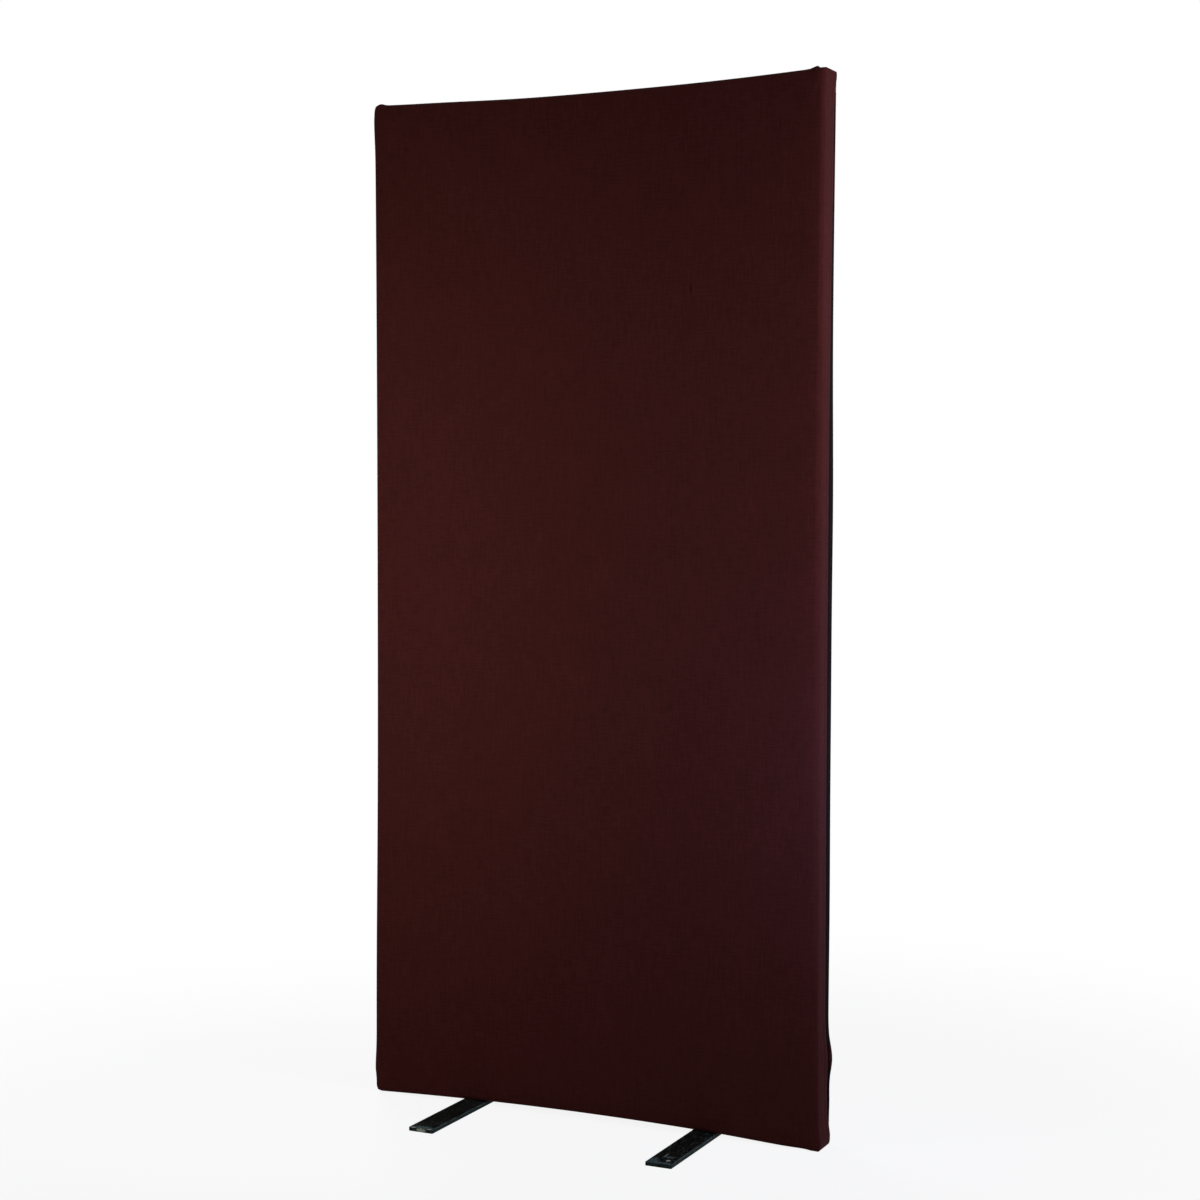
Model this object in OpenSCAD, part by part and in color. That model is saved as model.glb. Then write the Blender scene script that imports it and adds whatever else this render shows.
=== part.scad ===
/* [Panel] */
// Width over the cloth, corner to corner
panel_w = 1165; // [900:1:1500]
// Height over the cloth, corner to corner
panel_h = 2438; // [1800:1:2700]
// How far the cloth pulls the top and bottom edges in at mid-span
end_bow = 14; // [8:1:24]
// How far it pulls the two sides in at mid-height
side_bow = 4.5; // [3:0.5:12]
// Least gap between the lower corners and the floor
floor_gap = 1; // [0.5:0.5:3]

/* [Frame] */
// Thickness of the softwood boards, in the plane of the panel
board_t = 19; // [16:0.5:25]
// Depth of the boards, front to back
board_d = 89; // [70:1:110]
// Radius on the outer arrises of the boards
arris_r = 10; // [6:0.5:14]
// Radius to which the four corners of the frame are rounded off
frame_corner_r = 30; // [26:1:38]
// Gap between the boards and the cloth on the edges of the panel
edge_gap = 0.2; // [0.2:0.1:0.6]
// How deep the cross rails are housed into the stiles
housing = 6; // [4:0.5:9]
// How far the cross rails lie back from each face of the frame
rail_setback = 2; // [1:0.5:6]
// Leg of the triangular blocks in the corners of the frame
corner_leg = 70; // [60:1:90]

/* [Filling] */
// Gap around each mineral wool slab
slab_gap = 0.5; // [0.3:0.1:2]
// Thickness of the felt between the frame and the cloth
felt_t = 1.2; // [0.8:0.1:2]

/* [Cover] */
// Thickness of the cloth
cloth_t = 0.8; // [0.6:0.1:1]
// Radius of the cloth where it turns over the front and back edges
fold_r = 12; // [12:0.5:13]
// Radius of the cover's corners, seen from the front
cover_corner_r = 16; // [15:0.5:18]
// How far the sewn corners stand out as ears at the top
ear_top = 8; // [3:0.5:10]
// How far they stand out at the bottom
ear_low = 1; // [0:0.5:1.5]
// Width over which the back cover runs forward under the lap, from the back
lap_w = 66; // [60:1:72]
// How far the free edge of the lap is pulled forward of the back edge
lap_pull = 20; // [10:1:24]
// Height of the lower end of the closure
closure_low = 200; // [150:5:300]
// Distance of its upper end below the upper corners
closure_top = 114; // [90:1:900]
// How far the lap puckers outward at its lower end
pucker = 6; // [2:0.5:8]
// Width of the hook and loop tapes
tape_w = 18; // [14:1:22]
// Thickness of one tape
tape_t = 0.6; // [0.4:0.1:0.9]

/* [Feet] */
// Width of the flat steel bars
foot_w = 63.5; // [50:0.5:80]
// Thickness of the bars
foot_t = 9.5; // [8:0.5:11]
// Length of the bars, front to back
foot_l = 602; // [450:1:750]
// Distance between the centre lines of the two bars
foot_spacing = 607; // [450:1:700]
// Least thickness of the pads between the bars and the cover
pad_t = 0.5; // [0.3:0.1:2]
// Chamfer on the long edges of the bars
foot_chamfer = 0.8; // [0.4:0.1:1.5]
// Distance between the two bolts of a bar
bolt_spacing = 46; // [38:1:54]
// Diameter of the bolts
bolt_d = 10; // [8:1:12]
// Diameter of the countersunk bolt head
bolt_head_d = 20; // [18:0.5:22]
// Height of the bolt head's cone
bolt_head_h = 5; // [4:0.25:6]
// Height of the timber block that backs each pair of bolts
block_h = 38; // [30:1:50]
// Length of the block along the rail
block_l = 140; // [100:1:180]

/* [Hidden] */
$fn = 48;
half_w = panel_w / 2;
half_h = panel_h / 2;
end_r = (half_w * half_w + end_bow * end_bow) / (2 * end_bow);
side_r = (half_h * half_h + side_bow * side_bow) / (2 * side_bow);
// The corners hang just above the floor, or higher where the bars and their pads hold the panel up
corner_gap = max(floor_gap, foot_t + pad_t - bottom_rise((foot_spacing + foot_w) / 2));
mid_z = corner_gap + half_h;
closure_high = corner_gap + panel_h - closure_top;
panel_t = board_d + 2 * (felt_t + cloth_t);
face_y = panel_t / 2;
frame_y = board_d / 2;
inset = cloth_t + edge_gap;
lap_inset = 2 * cloth_t + 2 * tape_t + edge_gap;
bay_count = 4;
bay_pitch = panel_h / bay_count;
rail_d = board_d - 2 * rail_setback;
block_d = board_d - 2 * rail_setback;
fit = 0.05;
thin = 0.1;
past = 2;
reach = 100;
pad_half = face_y - fold_r - past;
tape_back = 2;

// Screws of the frame
screw_d = 4.5;
screw_head_d = 9;
screw_head_h = 3;
screw_len = 40;
screw_tip = 6;
screw_sink = 0.6;
screw_y = board_d * 0.27;
screw_near = 18;
screw_far = 40;

// Bolts, washers and nuts of the feet
head_rise = 0.5;
socket_d = 6;
socket_deep = 3;
washer_d = 25;
washer_t = 2;
nut_af = 17;
nut_h = 8.4;
nut_room = 6;
bolt_past_nut = 3;
bolt_chamfer = 1;

// Outline of the panel: four shallow arcs that bow inward
function bottom_rise(x) = end_bow - end_r + sqrt(end_r * end_r - x * x);
function bottom_z(x) = corner_gap + bottom_rise(x);
function right_x(z) = half_w - side_bow + side_r - sqrt(side_r * side_r - pow(z - mid_z, 2));
function mix(a, b, t) = a + (b - a) * t;
function ramp(t) = let (c = max(0, min(1, t))) c * c * (3 - 2 * c);
function bell(t) = exp(-t * t);

// A station is a point of the outline: [x, z, outward nx, outward nz, share of the ear, share of the lap].
// Stations run round the panel as seen from the front: along the bottom, up the right, back along the top.
function low_station(x) = [x, bottom_z(x), -x / end_r, -sqrt(1 - pow(x / end_r, 2)), 0, 0];
function right_station(z) = [right_x(z), z, sqrt(1 - pow((z - mid_z) / side_r, 2)), -(z - mid_z) / side_r, 0, 1];
function corner_z() = bottom_z(half_w - cover_corner_r) + cover_corner_r;
function corner_x() = right_x(corner_z()) - cover_corner_r;
corner_from = -90 - asin(half_w / end_r);
corner_to = asin(half_h / side_r);
ear_spread = 0.3;
function corner_station(t) =
    let (a = mix(corner_from, corner_to, t), c = [corner_x(), corner_z()], r = cover_corner_r)
    [c[0] + r * cos(a), c[1] + r * sin(a), cos(a), sin(a), bell((t - 0.5) / ear_spread), 0];
function flip_x(s) = [-s[0], s[1], -s[2], s[3], s[4], 0];
function flip_z(s) = [s[0], 2 * mid_z - s[1], s[2], -s[3], s[4], s[5]];
function reversed(list) = [for (i = [len(list) - 1:-1:0]) list[i]];

// Stations of one whole edge, running a little past its corners
function edge_station(edge, t) =
    edge == "bottom" ? low_station(t * half_w) :
    edge == "right" ? right_station(mid_z + t * half_h) :
    edge == "top" ? flip_z(low_station(-t * half_w)) :
    flip_x(right_station(mid_z - t * half_h));
edge_steps = 12;
past_corner = 1.06;
function edge_stations(edge) =
    [for (i = [0:edge_steps]) edge_station(edge, past_corner * (2 * i / edge_steps - 1))];

// Stations round the cover, closer together where the lap puckers
corner_steps = 5;
end_steps = 12;
foot_steps = 2;
side_steps = 8;
corner_run = 4;
end_reach = corner_x() - corner_run;
side_foot = corner_z() + corner_run;
pucker_w = 40;
pucker_step = 30;
low_stations = [for (i = [0:end_steps]) low_station(mix(-end_reach, end_reach, i / end_steps))];
corner_stations = [for (i = [0:corner_steps]) corner_station(i / corner_steps)];
side_heights = concat(
    [for (i = [0:foot_steps]) mix(side_foot, closure_low - 2 * pucker_w, i / foot_steps)],
    [for (i = [-1.5:1:4.5]) closure_low + i * pucker_step],
    [for (i = [1:side_steps]) mix(closure_low + 4 * pucker_w, closure_high, i / side_steps)],
    [2 * mid_z - side_foot]
);
right_stations = [for (z = side_heights) right_station(z)];
stations = concat(
    low_stations,
    corner_stations,
    right_stations,
    [for (s = reversed(corner_stations)) flip_z(s)],
    [for (s = reversed(low_stations)) flip_z(s)],
    [for (s = corner_stations) flip_z(flip_x(s))],
    [for (s = reversed(right_stations)) flip_x(s)],
    [for (s = reversed(corner_stations)) flip_x(s)]
);

// Where the lap's free edge lies: at the back edge above and below the closure, pulled forward between
lap_top_run = 875;
lap_low_run = 190;
lap_low_end = closure_low - 50;
lap_turn = [0.3, 0.9];
seam_run = 2;
seam_y = face_y - fold_r - seam_run;
lap_step = cloth_t + 2 * tape_t;
function closure_share(z) =
    ramp((closure_high - z) / lap_top_run) * ramp((z - lap_low_end) / lap_low_run);
function lap_edge(s) = seam_y - s[5] * lap_pull * closure_share(s[1]);
function pucker_out(s) = s[5] * pucker * bell((s[1] - closure_low) / pucker_w);
function ear_out(s) = (s[1] > mid_z ? ear_top : ear_low) * s[4];
// The back cover steps in under the lap: fully where the outline's normal points to the right
function back_inset(s) = lap_step * ramp((s[2] - lap_turn[0]) / (lap_turn[1] - lap_turn[0]));
// and runs forward under it, cut off on a slant towards the corners
slant_run = 60;
function from_corner(z) = half_h - abs(z - mid_z) - (side_foot - corner_run - corner_gap);
function under_edge(s) = mix(seam_y + 2 * fit, face_y - lap_w, s[5] * ramp(from_corner(s[1]) / slant_run));

// A point at depth y, set in from the outline by d
function at(s, d, y) = [s[0] - s[2] * d, y, s[1] - s[3] * d];

// One section across the cover: outside from the face to the free edge, then back inside.
// side is -1 on the front cover and 1 on the back one, where base sets the whole edge in.
fold_steps = 4;
bulge_at = 0.6;
function fold_point(s, side, base, under, out, i) =
    let (a = 90 * i / fold_steps, r = fold_r - under)
    at(s, base + fold_r - r * sin(a) - out * sin(a), side * (face_y - fold_r + r * cos(a)));
// Between the fold and the free edge the cloth that stands out dips back, unless that run is short.
dip_share = 0.5;
dip_run = 40;
function section(s, side, base, edge, free_out, under) =
    let (
        out = ear_out(s),
        from = side * (face_y - fold_r),
        dip = dip_share * min(1, abs(edge - from) / dip_run)
    )
    concat(
        [for (i = [0:fold_steps]) fold_point(s, side, base, under, out, i)],
        [at(s, base + under - mix(out, free_out, bulge_at) * (1 - dip), mix(from, edge, bulge_at))],
        [at(s, base + under - free_out, edge)]
    );

module cover_shell(side) {
    base = [for (s = stations) side < 0 ? 0 : back_inset(s)];
    edge = [for (s = stations) side < 0 ? lap_edge(s) : under_edge(s)];
    free_out = [for (s = stations) side < 0 ? max(pucker_out(s), ear_out(s)) : ear_out(s)];
    rows = [for (i = [0:len(stations) - 1])
        concat(
            section(stations[i], side, base[i], edge[i], free_out[i], 0),
            reversed(section(stations[i], side, base[i], edge[i], free_out[i], cloth_t))
        )];
    n = len(rows);
    m = len(rows[0]);
    middle = n * m;
    points = concat(
        [for (row = rows) each row],
        [[0, side * face_y, mid_z], [0, side * (face_y - cloth_t), mid_z]]
    );
    // Inside and outside are split into triangles the same way, so that the two never cross
    walls = [for (i = [0:n - 1], j = [0:m - 2])
        let (a = i * m + j, b = ((i + 1) % n) * m + j)
        each j < m / 2 ? [[a, b, b + 1], [a, b + 1, a + 1]] : [[a, b, a + 1], [b, b + 1, a + 1]]];
    // The flat faces run in to a point in the middle, because their outline bows inward
    faces = concat(walls, [for (i = [0:n - 1]) let (a = i * m, b = ((i + 1) % n) * m)
        each [[b, a, middle], [a + m - 1, b + m - 1, middle + 1]]]);
    polyhedron(points = points, faces = side < 0 ? faces : [for (f = faces) reversed(f)], convexity = 4);
}

function edge_inset(edge) = edge == "right" ? lap_inset : inset;

// A solid whose section, a list of [depth in from the outline, y], is carried along a row of stations
module sweep(row, profile) {
    m = len(profile);
    last = (len(row) - 1) * m;
    points = [for (s = row, p = profile) at(s, p[0], p[1])];
    walls = [for (i = [0:m:last - 1], j = [0:m - 1])
        let (k = (j + 1) % m) [i + j, i + m + j, i + m + k, i + k]];
    caps = [[for (j = [0:m - 1]) j], [for (j = [m - 1:-1:0]) last + j]];
    polyhedron(points = points, faces = concat(walls, caps), convexity = 4);
}

// Everything between the outside and a curve that runs parallel to one edge, deep in from it
module edge_zone(edge, deep) {
    row = edge_stations(edge);
    curve = [for (s = row) let (p = at(s, deep, 0)) [p[0], p[2]]];
    far = [for (s = [row[edge_steps], row[0]]) let (p = at(s, -reach, 0)) [p[0], p[2]]];
    translate([0, board_d, 0]) rotate([90, 0, 0]) linear_extrude(2 * board_d) polygon(concat(curve, far));
}

// Section of a board: the two outer arrises are rounded
function arris(side, i) =
    let (a = 90 * i / fold_steps)
    [arris_r - arris_r * sin(a), side * (board_d / 2 - arris_r + arris_r * cos(a))];
function board_profile(edge) = [for (p = concat(
    [[board_t, -board_d / 2]],
    [for (i = [0:fold_steps]) arris(-1, i)],
    [for (i = [fold_steps:-1:0]) arris(1, i)],
    [[board_t, board_d / 2]]
)) [p[0] + edge_inset(edge), p[1]]];

// The wedge that one mitred board keeps, with the frame's outer corners rounded off
module mitre_zone(edge) {
    upright = edge == "left" || edge == "right";
    sign = edge == "right" || edge == "top" ? 1 : -1;
    deep = board_t * 2 + corner_leg;
    a = upright ? half_h : half_w;
    b = upright ? half_w : half_h;
    outline = [[-a, b], [a, b], [a - deep, b - deep], [-a + deep, b - deep]];
    translate([0, board_d, mid_z]) rotate([90, 0, 0]) linear_extrude(2 * board_d)
        polygon([for (p = outline) upright ? [sign * p[1], p[0]] : [p[0], sign * p[1]]]);
}

module frame_blank() {
    w = panel_w - inset - lap_inset;
    h = panel_h - 2 * inset;
    r = frame_corner_r;
    translate([(inset - lap_inset) / 2, board_d, mid_z]) rotate([90, 0, 0]) linear_extrude(2 * board_d) {
        square([w - 2 * r, h], center = true);
        square([w, h - 2 * r], center = true);
        for (x = [-1, 1], z = [-1, 1]) translate([x * (w / 2 - r), z * (h / 2 - r)]) circle(r = r);
    }
}

module board(edge) {
    intersection() {
        sweep(edge_stations(edge), board_profile(edge));
        mitre_zone(edge);
        frame_blank();
    }
}

// Inner faces of the frame at one height or place
function inner_right(z) = right_x(z) - lap_inset - board_t;
function inner_left(z) = -right_x(z) + inset + board_t;
function inner_bottom(x) = bottom_z(x) + inset + board_t;
function cross_z(i) = corner_gap + i * bay_pitch;

module cross_rail(i) {
    z = cross_z(i);
    x0 = inner_left(z) - housing + fit;
    x1 = inner_right(z) + housing - fit;
    difference() {
        translate([x0, -rail_d / 2, z - board_t / 2]) cube([x1 - x0, rail_d, board_t]);
        screw_holes();
    }
}

module housings(edge) {
    for (i = [1:bay_count - 1]) {
        z = cross_z(i);
        x = edge == "left" ? inner_left(z) - housing : inner_right(z);
        translate([x - (edge == "left" ? 0 : thin), -rail_d / 2 - fit, z - board_t / 2 - fit])
            cube([housing + thin, rail_d + 2 * fit, board_t + 2 * fit]);
    }
}

// A countersunk screw with its head at the origin, pointing along -Z
module screw(grow = 0) {
    shank = screw_len - screw_tip;
    translate([0, 0, -screw_head_h]) cylinder(d1 = screw_d + 2 * grow, d2 = screw_head_d + 2 * grow, h = screw_head_h);
    translate([0, 0, -shank]) cylinder(d = screw_d + 2 * grow, h = shank - screw_head_h + thin / 2);
    translate([0, 0, -screw_len - grow]) cylinder(d1 = screw_d / 4, d2 = screw_d + 2 * grow, h = screw_tip + grow);
}

// Everything that a screw's place depends on: head position, then the way it is turned
module at_screws() {
    for (y = [-screw_y, screw_y]) {
        for (i = [1:bay_count - 1]) {
            z = cross_z(i);
            translate([right_x(z) - lap_inset - screw_sink, y, z]) rotate([0, 90, 0]) children();
            translate([-right_x(z) + inset + screw_sink, y, z]) rotate([0, -90, 0]) children();
        }
        for (up = [0, 1]) {
            z = inner_bottom(half_w - corner_leg) + screw_near;
            h = up == 1 ? 2 * mid_z - z : z;
            translate([right_x(h) - lap_inset - screw_sink, y, h]) rotate([0, 90, 0]) children();
            translate([-right_x(h) + inset + screw_sink, y, h]) rotate([0, -90, 0]) children();
            for (x = [inner_right(z) - screw_far, inner_left(z) + screw_far]) {
                d = bottom_z(x) + inset + screw_sink;
                if (up == 1) translate([x, y, 2 * mid_z - d]) children();
                if (up == 0) translate([x, y, d]) rotate([180, 0, 0]) children();
            }
        }
    }
}

module screw_holes() {
    at_screws() {
        screw(fit);
        translate([0, 0, -thin]) cylinder(d = screw_head_d + 2 * fit, h = screw_sink + past);
    }
}

module corner_block(right, up, gap = 0) {
    x = right ? half_w - inset - board_t : -half_w + inset + board_t;
    z = corner_gap + inset + board_t;
    leg = corner_leg + gap;
    sx = right ? -1 : 1;
    start = past + 1;
    translate([0, 0, up ? 2 * mid_z : 0]) scale([1, 1, up ? -1 : 1]) difference() {
        translate([x, block_d / 2 + gap, z]) rotate([90, 0, 0]) linear_extrude(block_d + 2 * gap)
            polygon([[-sx * start, -start], [sx * leg, -start], [sx * leg, 0], [0, leg], [-sx * start, leg]]);
        edge_zone("bottom", inset + board_t - gap);
        edge_zone(right ? "right" : "left", edge_inset(right ? "right" : "left") + board_t - gap);
    }
}

module corner_block_drilled(right, up) {
    difference() {
        corner_block(right, up);
        screw_holes();
    }
}

// The feet: bolts, and the block that stands on the bottom rail above each bar
function foot_x(side) = side * foot_spacing / 2;
function block_top() = inner_bottom(foot_x(1)) + block_h;
function nut_base() = block_top() + washer_t;

module at_bolts(side) {
    for (y = [-bolt_spacing / 2, bolt_spacing / 2]) translate([foot_x(side), y, 0]) children();
}

module bolt_holes(grow) {
    for (side = [-1, 1]) at_bolts(side) cylinder(d = bolt_d + 2 * grow, h = nut_base() + thin);
}

module foot_block(side, gap = 0) {
    base = inner_bottom(foot_x(1) + block_l / 2);
    difference() {
        translate([foot_x(side) - block_l / 2 - gap, -block_d / 2 - gap, base - gap - past])
            cube([block_l + 2 * gap, block_d + 2 * gap, block_top() - base + 2 * gap + past]);
        edge_zone("bottom", inset + board_t - gap);
        if (gap == 0) bolt_holes(fit);
    }
}

module bolt() {
    head = bolt_head_d / 2;
    len = nut_base() + nut_h + bolt_past_nut;
    difference() {
        rotate_extrude() polygon([
            [0, head_rise], [head, head_rise], [bolt_d / 2, head_rise + bolt_head_h],
            [bolt_d / 2, len - bolt_chamfer], [bolt_d / 2 - bolt_chamfer, len], [0, len]
        ]);
        translate([0, 0, head_rise - thin]) cylinder(d = socket_d / cos(30), h = socket_deep + thin, $fn = 6);
    }
}

module foot_bar(side) {
    c = foot_chamfer;
    w = foot_w / 2;
    difference() {
        translate([foot_x(side), foot_l / 2, 0]) rotate([90, 0, 0]) linear_extrude(foot_l) polygon([
            [-w + c, 0], [w - c, 0], [w, c], [w, foot_t - c],
            [w - c, foot_t], [-w + c, foot_t], [-w, foot_t - c], [-w, c]
        ]);
        at_bolts(side) {
            translate([0, 0, -thin]) cylinder(d = bolt_head_d + 2 * fit, h = head_rise + thin + fit);
            translate([0, 0, head_rise]) cylinder(d1 = bolt_head_d + 2 * fit, d2 = bolt_d + 2 * fit, h = bolt_head_h);
            cylinder(d = bolt_d + 2 * fit, h = foot_t + thin);
        }
    }
}

module foot_pad(side) {
    top = bottom_z(foot_x(1) - foot_w / 2);
    difference() {
        intersection() {
            translate([foot_x(side) - foot_w / 2 + foot_chamfer, -pad_half, foot_t])
                cube([foot_w - 2 * foot_chamfer, 2 * pad_half, top - foot_t]);
            edge_zone("bottom", -2 * fit);
        }
        bolt_holes(fit);
    }
}

// Mineral wool slabs, one in each bay between the rails
slab_steps = 6;
function slab_side(z0, z1, right) = [for (i = [0:slab_steps])
    let (z = mix(z0, z1, i / slab_steps))
    [right ? inner_right(z) - slab_gap : inner_left(z) + slab_gap, z]];
module infill(i) {
    low = corner_gap + inset + board_t - past;
    z0 = i == 0 ? low : cross_z(i) + board_t / 2 + slab_gap;
    z1 = i == bay_count - 1 ? 2 * mid_z - low : cross_z(i + 1) - board_t / 2 - slab_gap;
    difference() {
        translate([0, frame_y - slab_gap, 0]) rotate([90, 0, 0]) linear_extrude(board_d - 2 * slab_gap)
            polygon(concat(slab_side(z0, z1, true), reversed(slab_side(z0, z1, false))));
        if (i == 0) {
            edge_zone("bottom", inset + board_t + slab_gap);
            for (side = [-1, 1]) {
                foot_block(side, slab_gap);
                at_bolts(side) translate([0, 0, block_top()])
                    cylinder(d = washer_d + 2 * slab_gap, h = washer_t + nut_h + nut_room);
            }
            for (right = [true, false]) corner_block(right, false, slab_gap);
        }
        if (i == bay_count - 1) {
            edge_zone("top", inset + board_t + slab_gap);
            for (right = [true, false]) corner_block(right, true, slab_gap);
        }
    }
}

module felt(side) {
    inner = [for (s = stations) let (p = at(s, fold_r + back_inset(s), 0)) [p[0], p[2]]];
    translate([0, side < 0 ? -frame_y : frame_y + felt_t, 0]) rotate([90, 0, 0]) linear_extrude(felt_t) polygon(inner);
}

module tape(depth) {
    y = seam_y - lap_pull - tape_back;
    row = [for (s = right_stations) if (s[1] > closure_low && s[1] < closure_high + 1) s];
    sweep(row, [
        [depth, y - tape_w], [depth, y], [depth + tape_t, y], [depth + tape_t, y - tape_w]
    ]);
}

module stile(edge) {
    difference() {
        board(edge);
        housings(edge);
        screw_holes();
    }
}

module stile_left() { color("burlywood") stile("left"); }
module stile_right() { color("burlywood") stile("right"); }
module top_rail() {
    color("burlywood") difference() {
        board("top");
        screw_holes();
    }
}
module bottom_rail() {
    color("burlywood") difference() {
        board("bottom");
        screw_holes();
        bolt_holes(fit);
    }
}
module cross_rail_lower() { color("tan") cross_rail(1); }
module cross_rail_middle() { color("tan") cross_rail(2); }
module cross_rail_upper() { color("tan") cross_rail(3); }
module corner_block_top_left() { color("wheat") corner_block_drilled(false, true); }
module corner_block_top_right() { color("wheat") corner_block_drilled(true, true); }
module corner_block_bottom_left() { color("wheat") corner_block_drilled(false, false); }
module corner_block_bottom_right() { color("wheat") corner_block_drilled(true, false); }
module foot_block_left() { color("wheat") foot_block(-1); }
module foot_block_right() { color("wheat") foot_block(1); }
module frame_screws() { color("goldenrod") at_screws() screw(); }
module infill_bottom() { color("khaki") infill(0); }
module infill_lower_middle() { color("khaki") infill(1); }
module infill_upper_middle() { color("khaki") infill(2); }
module infill_top() { color("khaki") infill(3); }
module felt_front() { color("dimgray") felt(-1); }
module felt_back() { color("dimgray") felt(1); }
module cover_front() {
    color("#3a1516") difference() {
        cover_shell(-1);
        bolt_holes(fit);
    }
}
module cover_back() { color("#33110f") cover_shell(1); }
module closure_loop_tape() { color("black") tape(cloth_t); }
module closure_hook_tape() { color("black") tape(cloth_t + tape_t); }
module foot_bar_left() { color("#14161a") foot_bar(-1); }
module foot_bar_right() { color("#14161a") foot_bar(1); }
module foot_pad_left() { color("#101010") foot_pad(-1); }
module foot_pad_right() { color("#101010") foot_pad(1); }
module foot_bolts() { color("silver") for (side = [-1, 1]) at_bolts(side) bolt(); }
module foot_washers() {
    color("silver") for (side = [-1, 1]) at_bolts(side) translate([0, 0, block_top()]) difference() {
        cylinder(d = washer_d, h = washer_t);
        translate([0, 0, -thin]) cylinder(d = bolt_d + 2 * fit, h = washer_t + 2 * thin);
    }
}
module foot_nuts() {
    color("silver") for (side = [-1, 1]) at_bolts(side) translate([0, 0, nut_base()]) difference() {
        cylinder(d = nut_af / cos(30), h = nut_h, $fn = 6);
        translate([0, 0, -thin]) cylinder(d = bolt_d + 2 * fit, h = nut_h + 2 * thin);
    }
}

stile_left();
stile_right();
top_rail();
bottom_rail();
cross_rail_lower();
cross_rail_middle();
cross_rail_upper();
corner_block_top_left();
corner_block_top_right();
corner_block_bottom_left();
corner_block_bottom_right();
foot_block_left();
foot_block_right();
frame_screws();
infill_bottom();
infill_lower_middle();
infill_upper_middle();
infill_top();
felt_front();
felt_back();
cover_front();
cover_back();
closure_loop_tape();
closure_hook_tape();
foot_bar_left();
foot_bar_right();
foot_pad_left();
foot_pad_right();
foot_bolts();
foot_washers();
foot_nuts();
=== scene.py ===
import math
import bpy
from functools import partial
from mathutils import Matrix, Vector, noise


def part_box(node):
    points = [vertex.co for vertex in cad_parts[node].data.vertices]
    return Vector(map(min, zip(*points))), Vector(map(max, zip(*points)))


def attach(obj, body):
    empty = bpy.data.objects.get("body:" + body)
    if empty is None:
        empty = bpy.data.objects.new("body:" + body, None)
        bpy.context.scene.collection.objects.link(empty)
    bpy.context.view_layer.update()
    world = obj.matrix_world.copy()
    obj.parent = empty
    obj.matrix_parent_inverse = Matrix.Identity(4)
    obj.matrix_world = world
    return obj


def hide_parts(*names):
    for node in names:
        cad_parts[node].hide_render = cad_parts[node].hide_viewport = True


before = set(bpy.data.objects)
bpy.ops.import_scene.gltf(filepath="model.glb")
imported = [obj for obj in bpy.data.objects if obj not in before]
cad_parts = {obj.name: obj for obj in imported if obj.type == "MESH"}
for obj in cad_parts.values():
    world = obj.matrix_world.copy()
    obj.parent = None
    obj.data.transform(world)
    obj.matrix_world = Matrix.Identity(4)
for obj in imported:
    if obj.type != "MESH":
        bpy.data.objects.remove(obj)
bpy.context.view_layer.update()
scene = bpy.context.scene
scene.view_settings.view_transform = "Standard"
print("frame loaded:", len(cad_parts), "nodes")


# Small helpers

def linear(hexText):
    # sRGB hex to the linear colour that the shaders want
    channels = [int(hexText[i:i + 2], 16) / 255 for i in (1, 3, 5)]
    return [c / 12.92 if c <= 0.04045 else ((c + 0.055) / 1.055) ** 2.4 for c in channels] + [1.0]


def addNode(owner, kind, inputs=(), **settings):
    # adds a shader node; its inputs, by name or in order, are values, hex colours, nodes or their outputs
    node = owner.node_tree.nodes.new("ShaderNode" + kind)
    for name, value in settings.items():
        setattr(node, name, value)
    for name, value in inputs.items() if isinstance(inputs, dict) else enumerate(inputs):
        if isinstance(value, bpy.types.Node):
            value = value.outputs[0]
        if isinstance(value, bpy.types.NodeSocket):
            owner.node_tree.links.new(value, node.inputs[name])
        else:
            node.inputs[name].default_value = linear(value) if isinstance(value, str) else value
    return node


def newMaterial(name, attribute=None):
    # an empty material, what adds its nodes, and the place that its patterns read: the object's own,
    # or a mesh attribute
    material = bpy.data.materials.new(name)
    material.use_nodes = True
    material.node_tree.nodes.clear()
    add = partial(addNode, material)
    if attribute:
        return material, add, add("Attribute", attribute_name=attribute).outputs["Vector"]
    return material, add, add("TexCoord").outputs["Object"]


def finishMaterial(material, style, colour, height, sockets=None):
    # ends a material: the relief of its pattern, the shader with the style's values, the output
    add = partial(addNode, material)
    bump = {"Height": height, "Distance": style["depth"], "Strength": style["relief"]}
    values = {"Base Color": colour, "Normal": add("Bump", bump),
              "Roughness": style["roughness"], "Specular IOR Level": style["specular"]}
    shader = add("BsdfPrincipled", {**values, **(sockets or {})})
    add("OutputMaterial", {"Surface": shader})
    return material


def bandScale(gap):
    # the scale at which a wave texture's bands are this far apart
    return 2 * math.pi / (20 * gap)


def deselectAll():
    bpy.ops.object.select_all(action="DESELECT")


def makeActive(piece):
    deselectAll()
    piece.select_set(True)
    bpy.context.view_layer.objects.active = piece


def applyModifiers(piece):
    makeActive(piece)
    for modifier in list(piece.modifiers):
        bpy.ops.object.modifier_apply(modifier=modifier.name)


def addGrid(name, columns, rows):
    deselectAll()
    bpy.ops.mesh.primitive_grid_add(x_subdivisions=columns, y_subdivisions=rows, size=2)
    piece = bpy.context.object
    piece.name = name
    return piece


def dress(piece, material, slotName, *nodes):
    piece.data.materials.clear()
    piece.data.materials.append(material)
    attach(piece, "root")
    if nodes:
        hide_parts(*nodes)


def paintNodes(material, *nodes):
    for node in nodes:
        for slot in bpy.data.objects[node].material_slots:
            slot.material = material


def mix(a, b, t):
    return a + (b - a) * t


def ramp(t):
    c = max(0.0, min(1.0, t))
    return c * c * (3 - 2 * c)


def bell(t):
    return math.exp(-t * t)


# Camera, where the photographer stood; angles in degrees

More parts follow.
